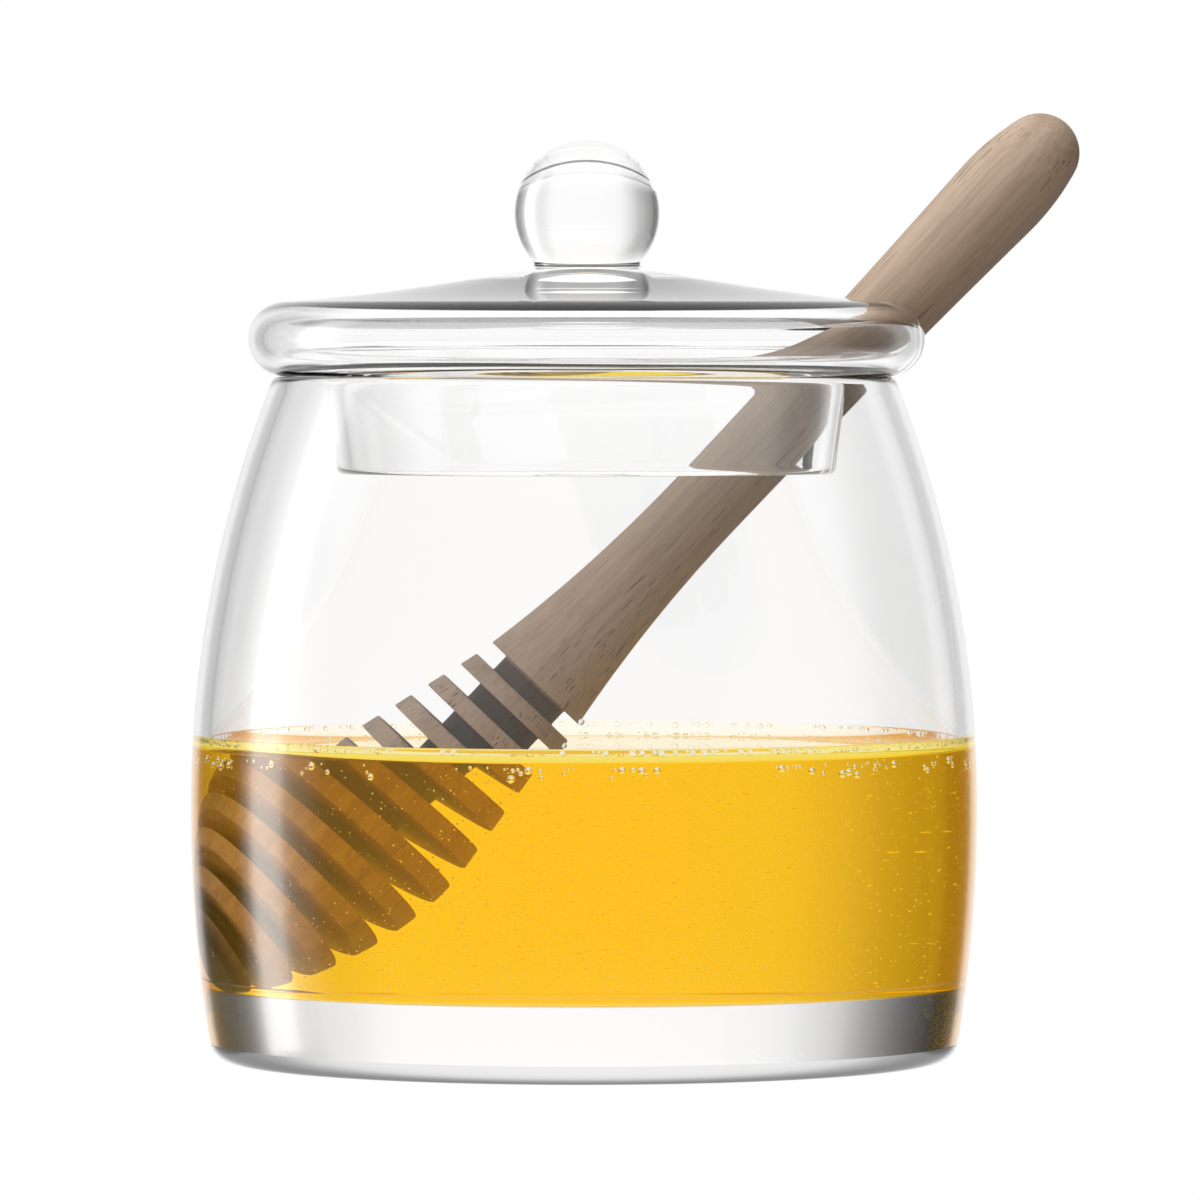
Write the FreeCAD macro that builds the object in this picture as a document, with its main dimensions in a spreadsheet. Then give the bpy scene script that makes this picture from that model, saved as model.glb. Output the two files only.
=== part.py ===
import FreeCAD, Part
# Glass honey pot: jar, honey, lid with a ball knob, and a turned wooden dipper that leans out of the lid's notch.
# Millimetres. +Z is up, the origin is the middle of the flat face that the jar stands on.

import math
import os

import Sketcher

V = FreeCAD.Vector

# Driving sizes: alias, value, meaning. Every other size is worked out from these.
SIZES = [
    ("jar_height", 89.2, "top of the jar's rim, where the lid rests"),
    ("belly_radius", 51.3, "outside of the jar at its widest"),
    ("belly_height", 33.0, "height of the widest place"),
    ("mouth_radius", 39.72, "middle of the rim's round bead"),
    ("lower_sweep", 190.0, "radius of the side's arc below the belly"),
    ("foot_round", 3.0, "rounding between side and foot"),
    ("wall", 2.2, "jar wall, and so the bead's thickness"),
    ("base_thickness", 10.1, "solid glass under the honey"),
    ("floor_round", 2.0, "rounding between inner wall and floor"),
    ("honey_level", 40.5, "flat surface of the honey"),
    ("honey_climb", 2.0, "how far the honey climbs the glass"),
    ("honey_curve", 3.6, "radius of the honey's curved edge"),
    ("lid_height", 30.8, "underside of the rim to the top of the knob"),
    ("lid_overhang", 4.45, "lid beyond the middle of the jar's rim"),
    ("lid_wall", 1.9, "glass thickness of the hollow lid"),
    ("lid_nose", 4.88, "radius of the lid's rounded edge"),
    ("lid_shift", 0.4, "how far off the jar's axis the lid rests"),
    ("lid_turn", 1.7, "how much further round than the dipper the lid's notch is turned, degrees"),
    ("dome_rise", 14.2, "underside of the rim to the foot of the knob"),
    ("dome_sweep", 250.0, "radius of the dome's hollow curve"),
    ("ceiling_crown", 0.65, "how much the inner ceiling bows up"),
    ("knob_radius", 9.5, "glass ball"),
    ("knob_round", 0.45, "rounding between ball and dome"),
    ("collar_clearance", 5.8, "middle of the jar's rim to the lid's collar"),
    ("collar_drop", 12.8, "underside of the rim to the collar's lower edge"),
    ("collar_draft", 1.3, "how much the collar narrows downwards"),
    ("collar_round", 2.0, "rounding where the collar leaves the rim"),
    ("dipper_azimuth", 2.5, "direction in which the dipper leans, degrees from X"),
    ("dipper_tilt", 46.4, "slope of the dipper, degrees from level"),
    ("notch_clearance", 1.2, "air between the dipper's grip and the lid's notch"),
    ("seat_clearance", 0.05, "air where the dipper touches floor and rim"),
    ("flange_count", 10, "flanges of the dipper's head, the end one included"),
    ("flange_thickness", 2.44, "one flange"),
    ("groove_width", 2.44, "one groove"),
    ("core_radius", 5.2, "head between the flanges"),
    ("head_neck_radius", 8.2, "envelope of the head at its first flange"),
    ("head_radius", 13.4, "envelope of the head at its widest"),
    ("head_station", 22.8, "free end to the widest place"),
    ("head_shoulder", 27.0, "radius of the envelope's arc above the widest place"),
    ("tail_sweep", 36.5, "radius of the envelope's arc below the widest place"),
    ("tail_round", 1.6, "rounding of the free end"),
    ("handle_length", 100.8, "flared foot of the handle to its tip"),
    ("flare_radius", 7.75, "flared foot of the handle"),
    ("waist_radius", 5.08, "thinnest place of the handle"),
    ("waist_station", 32.0, "flared foot to the thinnest place"),
    ("grip_radius", 6.12, "thickest place of the grip"),
    ("grip_station", 87.0, "flared foot to the thickest place"),
    ("tip_radius", 5.2, "round tip of the handle"),
]


def make_sheet(doc):
    """The spreadsheet of driving sizes."""
    sheet = doc.addObject("Spreadsheet::Sheet", "Sizes")
    for row, (alias, value, meaning) in enumerate(SIZES, start=1):
        sheet.set(f"A{row}", meaning)
        sheet.set(f"B{row}", str(value))
        sheet.setAlias(f"B{row}", alias)
    doc.recompute()
    return sheet


def origin_item(body, role):
    """The origin plane or axis of a body that has this role."""
    return next(item for item in body.Origin.OriginFeatures if item.Role == role)


def meet(first, first_radius, second, second_radius, side):
    """A meeting point of two circles: side +1 is left of the way from first to second, -1 right."""
    way = second - first
    gap = way.Length
    along = (gap ** 2 + first_radius ** 2 - second_radius ** 2) / (2 * gap)
    across = math.sqrt(max(first_radius ** 2 - along ** 2, 0.0))
    unit = way / gap
    return first + unit * along + V(-unit.y, unit.x, 0) * side * across


def towards(centre, target, radius):
    """The point at a radius from a centre, in the direction of a target."""
    return centre + (target - centre).normalize() * radius


class Outline:
    """A sketch outline, drawn in order: each new piece starts where the last one ended.

    In a turned profile x is the radius and y the height. Points are first placed from the
    sheet's values, then held by constraints that are bound to the sheet.
    """

    def __init__(self, body, name, plane):
        self.sketch = body.newObject("Sketcher::SketchObject", name)
        self.sketch.AttachmentSupport = (origin_item(body, plane), [""])
        self.sketch.MapMode = "FlatFace"
        self.pieces = []

    def line(self, start, end):
        index = self.sketch.addGeometry(Part.LineSegment(start, end), False)
        return self.keep(index, 1, 2)

    def arc(self, centre, start, end, turn):
        """An arc from start to end, turn +1 counterclockwise or -1 clockwise."""
        first, last = (start, end) if turn > 0 else (end, start)
        angles = [math.atan2(p.y - centre.y, p.x - centre.x) for p in (first, last)]
        if angles[1] <= angles[0]:
            angles[1] += 2 * math.pi
        circle = Part.Circle(centre, V(0, 0, 1), (start - centre).Length)
        index = self.sketch.addGeometry(Part.ArcOfCircle(circle, *angles), False)
        return self.keep(index, 1, 2) if turn > 0 else self.keep(index, 2, 1)

    def guide_circle(self, centre, radius):
        """A construction circle, which guides other pieces and isn't part of the outline."""
        circle = Part.Circle(centre, V(0, 0, 1), radius)
        return (self.sketch.addGeometry(circle, True), 0, 0)

    def keep(self, index, head, tail):
        piece = (index, head, tail)
        self.pieces.append(piece)
        return piece

    def rule(self, kind, *places):
        return self.sketch.addConstraint(Sketcher.Constraint(kind, *places))

    def join(self, smooth):
        """Joins the pieces into a loop. smooth lists the pieces that leave without a corner."""
        for piece, following in zip(self.pieces, self.pieces[1:] + self.pieces[:1]):
            kind = "Tangent" if piece in smooth else "Coincident"
            self.rule(kind, piece[0], piece[2], following[0], following[1])

    def level(self, *pieces):
        for piece in pieces:
            self.rule("Horizontal", piece[0])

    def upright(self, *pieces):
        for piece in pieces:
            self.rule("Vertical", piece[0])

    def at_origin(self, piece):
        self.rule("Coincident", piece[0], piece[1], -1, 1)

    def on_axis(self, piece, place):
        self.rule("PointOnObject", piece[0], place, -2)

    def same_centre(self, piece, other):
        self.rule("Coincident", piece[0], 3, other[0], 3)

    def size(self, kind, name, places, expression):
        """A named dimension, bound to the sheet."""
        self.sketch.addConstraint(Sketcher.Constraint(kind, *places, self.measured(kind, places)))
        self.sketch.renameConstraint(self.sketch.ConstraintCount - 1, name)
        self.sketch.setExpression(f"Constraints.{name}", expression)

    def measured(self, kind, places):
        """What a dimension measures in the outline as it is placed."""
        if kind == "Radius":
            return self.sketch.Geometry[places[0]].Radius
        reading = self.sketch.getPoint(places[0], places[1])
        return reading.x if kind == "DistanceX" else reading.y

    def radius(self, name, piece, expression):
        self.size("Radius", name, (piece[0],), expression)

    def out(self, name, piece, place, expression):
        self.size("DistanceX", name, (piece[0], place), expression)

    def up(self, name, piece, place, expression):
        self.size("DistanceY", name, (piece[0], place), expression)


CENTRE = 3


def turn(body, outline, feature="PartDesign::Revolution", name="Turned"):
    """Turns an outline all round the body's Z axis, as material or as a groove."""
    turned = body.newObject(feature, name)
    turned.Profile = outline.sketch
    turned.ReferenceAxis = (outline.sketch, ["V_Axis"])
    turned.Angle = 360.0
    body.Tip = turned
    return turned


class Cavity:
    """The jar's inside, from the axis along the floor and up the wall, for the jar and for the honey."""

    def __init__(self, s):
        bead = s.wall / 2
        self.bead_centre = V(s.mouth_radius, s.jar_height - bead)
        inward = s.mouth_radius - s.belly_radius
        rise = self.bead_centre.y - s.belly_height
        self.upper_sweep = (inward ** 2 + rise ** 2 - bead ** 2) / (-2 * inward - s.wall)
        self.upper_centre = V(s.belly_radius - self.upper_sweep, s.belly_height)
        self.lower_centre = V(s.belly_radius - s.lower_sweep, s.belly_height)
        self.belly = V(s.belly_radius - s.wall, s.belly_height)
        self.rim = towards(self.bead_centre, self.upper_centre, bead)
        self.corner_centre = self.inside_corner(s.base_thickness + s.floor_round,
                                                s.lower_sweep - s.wall - s.floor_round)
        self.corner = towards(self.lower_centre, self.corner_centre, s.lower_sweep - s.wall)
        self.floor_edge = V(self.corner_centre.x, s.base_thickness)
        self.floor_middle = V(0, s.base_thickness)

    def inside_corner(self, height, reach):
        """Centre of a rounding at this height, as far from the lower arc's centre as reach."""
        drop = height - self.lower_centre.y
        return V(self.lower_centre.x + math.sqrt(reach ** 2 - drop ** 2), height)


def make_jar(doc, s):
    """Thin-walled jar with a thick base, a belly of two arcs and a fire-polished rim."""
    body = doc.addObject("PartDesign::Body", "Jar")
    body.Label = "jar"
    c = Cavity(s)
    foot_centre = c.inside_corner(s.foot_round, s.lower_sweep - s.foot_round)
    foot_edge = V(foot_centre.x, 0)
    foot_side = towards(c.lower_centre, foot_centre, s.lower_sweep)
    belly = V(s.belly_radius, s.belly_height)
    rim = c.bead_centre * 2 - c.rim

    o = Outline(body, "JarOutline", "XZ_Plane")
    under = o.line(V(0, 0), foot_edge)
    foot = o.arc(foot_centre, foot_edge, foot_side, +1)
    lower = o.arc(c.lower_centre, foot_side, belly, +1)
    upper = o.arc(c.upper_centre, belly, rim, +1)
    bead = o.arc(c.bead_centre, rim, c.rim, +1)
    inner_upper = o.arc(c.upper_centre, c.rim, c.belly, -1)
    inner_lower = o.arc(c.lower_centre, c.belly, c.corner, -1)
    corner = o.arc(c.corner_centre, c.corner, c.floor_edge, -1)
    floor = o.line(c.floor_edge, c.floor_middle)
    axis = o.line(c.floor_middle, V(0, 0))

    o.join(smooth=[under, foot, lower, upper, bead, inner_lower, corner])
    o.at_origin(under)
    o.level(under, floor)
    o.upright(axis)
    o.same_centre(inner_upper, upper)
    o.same_centre(inner_lower, lower)
    o.out("belly_radius", lower, lower[2], "Sizes.belly_radius")
    o.up("belly_height", lower, CENTRE, "Sizes.belly_height")
    o.up("belly_height_above", upper, CENTRE, "Sizes.belly_height")
    o.up("belly_height_inside", inner_upper, inner_upper[2], "Sizes.belly_height")
    o.radius("lower_sweep", lower, "Sizes.lower_sweep")
    o.radius("foot_round", foot, "Sizes.foot_round")
    o.radius("bead", bead, "Sizes.wall / 2")
    o.out("mouth_radius", bead, CENTRE, "Sizes.mouth_radius")
    o.up("bead_height", bead, CENTRE, "Sizes.jar_height - Sizes.wall / 2")
    o.radius("floor_round", corner, "Sizes.floor_round")
    o.up("base_thickness", floor, floor[1], "Sizes.base_thickness")
    turn(body, o)
    return body


def make_honey(doc, s, dipper):
    """Honey that fills the jar to its level, climbs the glass a little and is cut round the dipper."""
    fill = doc.addObject("PartDesign::Body", "HoneyFill")
    fill.Label = "honey_fill"
    c = Cavity(s)
    edge_height = s.honey_level + s.honey_climb
    edge_drop = edge_height - s.belly_height
    edge = V(c.upper_centre.x + math.sqrt((c.upper_sweep - s.wall) ** 2 - edge_drop ** 2), edge_height)
    curve_drop = s.honey_curve - s.honey_climb
    curve_start = V(edge.x - math.sqrt(s.honey_curve ** 2 - curve_drop ** 2), s.honey_level)
    curve_centre = V(curve_start.x, s.honey_level + s.honey_curve)
    surface_middle = V(0, s.honey_level)

    o = Outline(fill, "HoneyOutline", "XZ_Plane")
    floor = o.line(c.floor_middle, c.floor_edge)
    corner = o.arc(c.corner_centre, c.floor_edge, c.corner, +1)
    lower = o.arc(c.lower_centre, c.corner, c.belly, +1)
    upper = o.arc(c.upper_centre, c.belly, edge, +1)
    curve = o.arc(curve_centre, edge, curve_start, -1)
    surface = o.line(curve_start, surface_middle)
    axis = o.line(surface_middle, c.floor_middle)
    bead = o.guide_circle(c.bead_centre, s.wall / 2)

    o.join(smooth=[floor, corner, lower, curve])
    o.level(floor, surface)
    o.upright(axis)
    o.on_axis(floor, floor[1])
    o.up("base_thickness", floor, floor[1], "Sizes.base_thickness")
    o.radius("floor_round", corner, "Sizes.floor_round")
    o.radius("lower_sweep", lower, "Sizes.lower_sweep - Sizes.wall")
    o.up("belly_height", lower, CENTRE, "Sizes.belly_height")
    o.up("belly_height_above", upper, CENTRE, "Sizes.belly_height")
    o.out("belly_radius", lower, lower[2], "Sizes.belly_radius - Sizes.wall")
    o.rule("Tangent", upper[0], bead[0])
    o.radius("bead", bead, "Sizes.wall / 2")
    o.out("mouth_radius", bead, CENTRE, "Sizes.mouth_radius")
    o.up("bead_height", bead, CENTRE, "Sizes.jar_height - Sizes.wall / 2")
    o.radius("honey_curve", curve, "Sizes.honey_curve")
    o.up("honey_edge", upper, upper[2], "Sizes.honey_level + Sizes.honey_climb")
    o.up("honey_level", surface, surface[2], "Sizes.honey_level")
    turn(fill, o)

    honey = doc.addObject("Part::Cut", "Honey")
    honey.Label = "honey"
    honey.Base = fill
    honey.Tool = dipper
    return honey


def make_lid(doc, s):
    """Hollow glass lid: ball knob, hollow-curved dome, rounded edge, collar, and a notch for the dipper.

    It is modelled with the underside of its edge at height 0 and the notch towards +X.
    """
    body = doc.addObject("PartDesign::Body", "Lid")
    body.Label = "lid"
    nose_centre = V(s.mouth_radius + s.lid_overhang - s.lid_nose, s.lid_nose)
    nose_foot = V(nose_centre.x, 0)
    knob_centre = V(0, s.lid_height - s.knob_radius)
    knob_top = V(0, s.lid_height)
    knob_foot = V(s.knob_radius * 0.75, s.dome_rise)
    dome_centre = meet(knob_foot, s.dome_sweep, nose_centre, s.dome_sweep + s.lid_nose, +1)
    round_centre = meet(knob_centre, s.knob_radius + s.knob_round, dome_centre, s.dome_sweep - s.knob_round, -1)
    knob_end = towards(knob_centre, round_centre, s.knob_radius)
    dome_start = towards(dome_centre, round_centre, s.dome_sweep)
    dome_end = towards(nose_centre, dome_centre, s.lid_nose)

    collar_radius = s.mouth_radius - s.collar_clearance
    turn_centre = V(collar_radius + s.collar_round, -s.collar_round)
    turn_out = V(turn_centre.x, 0)
    hem = s.lid_wall / 2
    hem_centre = V(collar_radius - s.collar_draft - hem, hem - s.collar_drop)
    slant = math.atan2(s.collar_draft, s.collar_drop)
    outward = V(math.cos(slant), -math.sin(slant))
    turn_in = turn_centre - outward * s.collar_round
    turn_in_inside = turn_centre - outward * (s.collar_round + s.lid_wall)
    turn_out_inside = V(turn_centre.x, s.lid_wall)

    inner_nose = s.lid_nose - s.lid_wall
    inner_nose_foot = nose_centre - V(0, inner_nose)
    ceiling = V(0, nose_centre.y + inner_nose + s.ceiling_crown)
    over = ceiling.y - nose_centre.y
    ceiling_sweep = (nose_centre.x ** 2 + over ** 2 - inner_nose ** 2) / (2 * (over - inner_nose))
    ceiling_centre = ceiling - V(0, ceiling_sweep)
    inner_nose_top = nose_centre + (nose_centre - ceiling_centre).normalize() * inner_nose

    o = Outline(body, "LidOutline", "XZ_Plane")
    knob = o.arc(knob_centre, knob_top, knob_end, -1)
    knob_round = o.arc(round_centre, knob_end, dome_start, +1)
    dome = o.arc(dome_centre, dome_start, dome_end, +1)
    nose = o.arc(nose_centre, dome_end, nose_foot, -1)
    under = o.line(nose_foot, turn_out)
    collar_turn = o.arc(turn_centre, turn_out, turn_in, +1)
    collar = o.line(turn_in, hem_centre + outward * hem)
    collar_hem = o.arc(hem_centre, hem_centre + outward * hem, hem_centre - outward * hem, -1)
    collar_inside = o.line(hem_centre - outward * hem, turn_in_inside)
    turn_inside = o.arc(turn_centre, turn_in_inside, turn_out_inside, -1)
    over_rim = o.line(turn_out_inside, inner_nose_foot)
    nose_inside = o.arc(nose_centre, inner_nose_foot, inner_nose_top, +1)
    ceiling_arc = o.arc(ceiling_centre, inner_nose_top, ceiling, +1)
    axis = o.line(ceiling, knob_top)

    o.join(smooth=o.pieces[:-2])
    o.upright(axis)
    o.level(under)
    o.on_axis(knob, knob[1])
    o.on_axis(knob, CENTRE)
    o.up("knob_height", knob, CENTRE, "Sizes.lid_height - Sizes.knob_radius")
    o.radius("knob_radius", knob, "Sizes.knob_radius")
    o.radius("knob_round", knob_round, "Sizes.knob_round")
    o.radius("dome_sweep", dome, "Sizes.dome_sweep")
    o.up("dome_rise", dome, dome[1], "Sizes.dome_rise")
    o.radius("nose", nose, "Sizes.lid_nose")
    o.out("nose_out", nose, CENTRE, "Sizes.mouth_radius + Sizes.lid_overhang - Sizes.lid_nose")
    o.up("nose_up", nose, CENTRE, "Sizes.lid_nose")
    o.radius("collar_round", collar_turn, "Sizes.collar_round")
    o.out("collar_radius", collar_turn, CENTRE,
          "Sizes.mouth_radius - Sizes.collar_clearance + Sizes.collar_round")
    o.radius("hem", collar_hem, "Sizes.lid_wall / 2")
    o.out("hem_out", collar_hem, CENTRE,
          "Sizes.mouth_radius - Sizes.collar_clearance - Sizes.collar_draft - Sizes.lid_wall / 2")
    o.up("hem_up", collar_hem, CENTRE, "Sizes.lid_wall / 2 - Sizes.collar_drop")
    o.same_centre(turn_inside, collar_turn)
    o.radius("turn_inside", turn_inside, "Sizes.collar_round + Sizes.lid_wall")
    o.same_centre(nose_inside, nose)
    o.radius("nose_inside", nose_inside, "Sizes.lid_nose - Sizes.lid_wall")
    o.on_axis(ceiling_arc, CENTRE)
    o.up("ceiling", axis, axis[1], "2 * Sizes.lid_nose - Sizes.lid_wall + Sizes.ceiling_crown")
    turn(body, o)

    cut_notch(s, body)
    round_axis = around_z(s.dipper_azimuth + s.lid_turn)
    body.Placement = FreeCAD.Placement(round_axis * V(s.lid_shift, 0, 0) + V(0, 0, s.jar_height), round_axis)
    return body


def cut_notch(s, body):
    """The U-shaped notch, cut straight down through the lid's edge, its round end centred on the collar."""
    half = s.grip_radius + s.notch_clearance
    middle = V(s.mouth_radius - s.collar_clearance, 0)
    outside = s.mouth_radius + s.lid_overhang + half

    o = Outline(body, "NotchOutline", "XY_Plane")
    end = o.arc(middle, middle + V(0, half), middle - V(0, half), +1)
    near = o.line(middle - V(0, half), V(outside, -half))
    mouth = o.line(V(outside, -half), V(outside, half))
    far = o.line(V(outside, half), middle + V(0, half))
    o.join(smooth=[end, far])
    o.level(near, far)
    o.upright(mouth)
    o.rule("PointOnObject", end[0], CENTRE, -1)
    o.radius("half_width", end, "Sizes.grip_radius + Sizes.notch_clearance")
    o.out("end_out", end, CENTRE, "Sizes.mouth_radius - Sizes.collar_clearance")
    o.out("outside", mouth, mouth[1],
          "Sizes.mouth_radius + Sizes.lid_overhang + Sizes.grip_radius + Sizes.notch_clearance")

    notch = body.newObject("PartDesign::Pocket", "Notch")
    notch.Profile = o.sketch
    notch.Type = "Length"
    notch.Midplane = True
    notch.setExpression("Length", "2 * Sizes.lid_height")
    body.Tip = notch


def make_dipper(doc, s):
    """Turned wooden dipper: a round handle with a flared foot and a head of flanges on a core.

    It is modelled standing on its free end, and then leans in the jar.
    """
    body = doc.addObject("PartDesign::Body", "Dipper")
    body.Label = "dipper"
    head = doc.Seat.head_length
    widest = V(s.head_radius, s.head_station)
    tail_centre = widest - V(s.tail_sweep, 0)
    shoulder_centre = widest - V(s.head_shoulder, 0)
    end_centre = V(doc.Seat.tail_corner, s.tail_round)
    end_edge = V(end_centre.x, 0)
    tail_start = towards(tail_centre, end_centre, s.tail_sweep)
    neck = V(s.head_neck_radius, head - s.groove_width)
    cone_start = tangent_point(neck, shoulder_centre, s.head_shoulder)
    flare = V(s.flare_radius, head)
    waist = V(s.waist_radius, head + s.waist_station)
    grip = V(s.grip_radius, head + s.grip_station)
    flare_centre = waist + V(arc_radius(flare - waist), 0)
    swell_centre = waist + V(arc_radius(grip - waist), 0)
    tip = V(0, head + s.handle_length)
    tip_centre = tip - V(0, s.tip_radius)
    outward = (grip - swell_centre).normalize()
    drop = grip - tip_centre
    fall = drop.dot(drop) - s.tip_radius ** 2
    tip_sweep = fall / (-2 * drop.dot(outward) - 2 * s.tip_radius)
    tip_sweep_centre = grip + outward * tip_sweep
    tip_start = towards(tip_sweep_centre, tip_centre, tip_sweep)

    o = Outline(body, "DipperOutline", "XZ_Plane")
    end = o.line(V(0, 0), end_edge)
    end_round = o.arc(end_centre, end_edge, tail_start, +1)
    tail = o.arc(tail_centre, tail_start, widest, +1)
    shoulder = o.arc(shoulder_centre, widest, cone_start, +1)
    cone = o.line(cone_start, neck)
    step = o.line(neck, flare)
    flare_arc = o.arc(flare_centre, flare, waist, -1)
    swell = o.arc(swell_centre, waist, grip, -1)
    tip_shoulder = o.arc(tip_sweep_centre, grip, tip_start, +1)
    tip_arc = o.arc(tip_centre, tip_start, tip, +1)
    axis = o.line(tip, V(0, 0))

    o.join(smooth=[end, end_round, tail, shoulder, flare_arc, swell, tip_shoulder])
    o.at_origin(end)
    o.level(end)
    o.upright(axis)
    o.radius("tail_round", end_round, "Sizes.tail_round")
    o.radius("tail_sweep", tail, "Sizes.tail_sweep")
    o.up("head_station", tail, CENTRE, "Sizes.head_station")
    o.up("head_station_above", shoulder, CENTRE, "Sizes.head_station")
    o.out("head_radius", tail, tail[2], "Sizes.head_radius")
    o.radius("head_shoulder", shoulder, "Sizes.head_shoulder")
    o.out("head_neck_radius", cone, cone[2], "Sizes.head_neck_radius")
    o.up("head_neck_up", cone, cone[2], "Seat.head_length - Sizes.groove_width")
    o.out("flare_radius", step, step[2], "Sizes.flare_radius")
    o.up("flare_up", step, step[2], "Seat.head_length")
    o.up("waist_up", flare_arc, CENTRE, "Seat.head_length + Sizes.waist_station")
    o.up("waist_up_above", swell, CENTRE, "Seat.head_length + Sizes.waist_station")
    o.out("waist_radius", flare_arc, flare_arc[2], "Sizes.waist_radius")
    o.out("grip_radius", swell, swell[2], "Sizes.grip_radius")
    o.up("grip_up", swell, swell[2], "Seat.head_length + Sizes.grip_station")
    o.radius("tip_radius", tip_arc, "Sizes.tip_radius")
    o.on_axis(tip_arc, CENTRE)
    o.up("tip_up", tip_arc, CENTRE, "Seat.head_length + Sizes.handle_length - Sizes.tip_radius")
    turn(body, o)

    cut_grooves(s, body)
    round_axis = around_z(s.dipper_azimuth)
    lean = round_axis * FreeCAD.Rotation(V(0, 1, 0), 90 - s.dipper_tilt)
    body.Placement = FreeCAD.Placement(round_axis * V(doc.Seat.end_out, 0, doc.Seat.end_up), lean)
    return body


def cut_grooves(s, body):
    """One groove above the end flange, repeated up to the foot of the handle."""
    inner = s.core_radius
    outer = s.head_radius + s.groove_width
    low = s.flange_thickness
    high = low + s.groove_width

    o = Outline(body, "GrooveOutline", "XZ_Plane")
    under = o.line(V(inner, low), V(outer, low))
    side = o.line(V(outer, low), V(outer, high))
    over = o.line(V(outer, high), V(inner, high))
    core = o.line(V(inner, high), V(inner, low))
    o.join(smooth=[])
    o.level(under, over)
    o.upright(side, core)
    o.out("core_radius", under, under[1], "Sizes.core_radius")
    o.up("flange_thickness", under, under[1], "Sizes.flange_thickness")
    o.out("outside", over, over[1], "Sizes.head_radius + Sizes.groove_width")
    o.up("groove_top", over, over[1], "Sizes.flange_thickness + Sizes.groove_width")
    groove = turn(body, o, "PartDesign::Groove", "Groove")

    grooves = body.newObject("PartDesign::LinearPattern", "Grooves")
    grooves.Originals = [groove]
    grooves.Direction = (o.sketch, ["V_Axis"])
    grooves.setExpression("Occurrences", "Sizes.flange_count")
    grooves.setExpression("Length", "(Sizes.flange_count - 1) * (Sizes.flange_thickness + Sizes.groove_width)")
    body.Tip = grooves


def arc_radius(step):
    """Radius of an arc that starts upright at one end and ends this step away."""
    return step.dot(step) / (2 * step.x)


def tangent_point(outside, centre, radius):
    """Where a line from an outside point touches a circle, on the upper right side."""
    way = outside - centre
    angle = math.atan2(way.y, way.x) - math.acos(radius / way.Length)
    return centre + V(math.cos(angle), math.sin(angle)) * radius


def around_z(degrees):
    """A turn about the jar's axis."""
    return FreeCAD.Rotation(V(0, 0, 1), degrees)


def make_seat(doc):
    """Worked-out values of the dipper's seat, in the upright plane that it leans in.

    The rounded edge of its free end touches the jar's floor, and its handle lies on the rim's bead.
    """
    tilt = "Sizes.dipper_tilt * 1 deg"
    seat = doc.addObject("App::VarSet", "Seat")
    values = [
        ("head_length", "Sizes.flange_count * (Sizes.flange_thickness + Sizes.groove_width)"),
        ("tail_corner", "Sizes.head_radius - Sizes.tail_sweep + sqrt((Sizes.tail_sweep - Sizes.tail_round) ^ 2"
                        " - (Sizes.head_station - Sizes.tail_round) ^ 2)"),
        ("end_up", "Sizes.base_thickness + Sizes.seat_clearance + Sizes.tail_round * (1 - sin(" + tilt + "))"
                   " + Seat.tail_corner * cos(" + tilt + ")"),
        ("bead_over_end", "Sizes.jar_height - Sizes.wall / 2 - Seat.end_up"),
        ("rest_station", "(Seat.bead_over_end + (Sizes.waist_radius + Sizes.wall / 2) * cos(" + tilt + "))"
                         " / sin(" + tilt + ") - Seat.head_length"),
        ("swell", "(Sizes.grip_radius - Sizes.waist_radius) * ((Seat.rest_station - Sizes.waist_station)"
                  " / (Sizes.grip_station - Sizes.waist_station)) ^ 2"),
        ("bead_offset", "Sizes.waist_radius + Seat.swell + Sizes.wall / 2 + Sizes.seat_clearance"),
        ("end_out", "Sizes.mouth_radius - (Seat.bead_offset + Seat.bead_over_end * cos(" + tilt + "))"
                    " / sin(" + tilt + ")"),
    ]
    for name, expression in values:
        seat.addProperty("App::PropertyFloat", name, "Seat")
        seat.setExpression(name, expression.replace("Seat.", ""))
    doc.recompute()


class Values:
    """The sheet's values, by name."""

    def __init__(self, sheet):
        for alias, _, _ in SIZES:
            setattr(self, alias, sheet.get(alias))


def check(doc, nodes):
    """Stops when an object has failed or a sub-part has no sound solid."""
    for item in doc.Objects:
        if "Invalid" in item.State or "Error" in item.State:
            raise SystemExit(f"{item.Name} failed: {item.State}")
    for node in nodes:
        if node.Shape.isNull() or not node.Shape.isValid() or len(node.Shape.Solids) != 1:
            raise SystemExit(f"{node.Label} is not one sound solid")


def main():
    doc = FreeCAD.newDocument("honey_pot")
    s = Values(make_sheet(doc))
    make_seat(doc)
    dipper = make_dipper(doc, s)
    nodes = [make_jar(doc, s), make_lid(doc, s), dipper, make_honey(doc, s, dipper)]
    doc.recompute()
    check(doc, nodes)
    os.makedirs("parts", exist_ok=True)
    for node in nodes:
        node.Shape.exportStep(os.path.join("parts", node.Label + ".step"))
        box = node.Shape.BoundBox
        print(f"{node.Label}: {node.Shape.Volume / 1000:.2f} cm3,"
              f" X {box.XMin:.2f} to {box.XMax:.2f}, Y {box.YMin:.2f} to {box.YMax:.2f},"
              f" Z {box.ZMin:.2f} to {box.ZMax:.2f}")


main()
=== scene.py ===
"""Looks of a glass honey pot: clear jar and lid, golden honey with bubbles, and a turned wooden dipper.

Sizes are in millimetres and turned into metres where a mesh is made. The outer sizes of jar, lid and honey
come from the frame. Their other sizes and the dipper's repeat the part's source, apart from the honey's reach
into the glass and the rounding of the flanges' corners. Bubbles, drops and materials are only here.
"""

import math
import random

import bmesh
import bpy
from mathutils import Matrix, Vector


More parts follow.
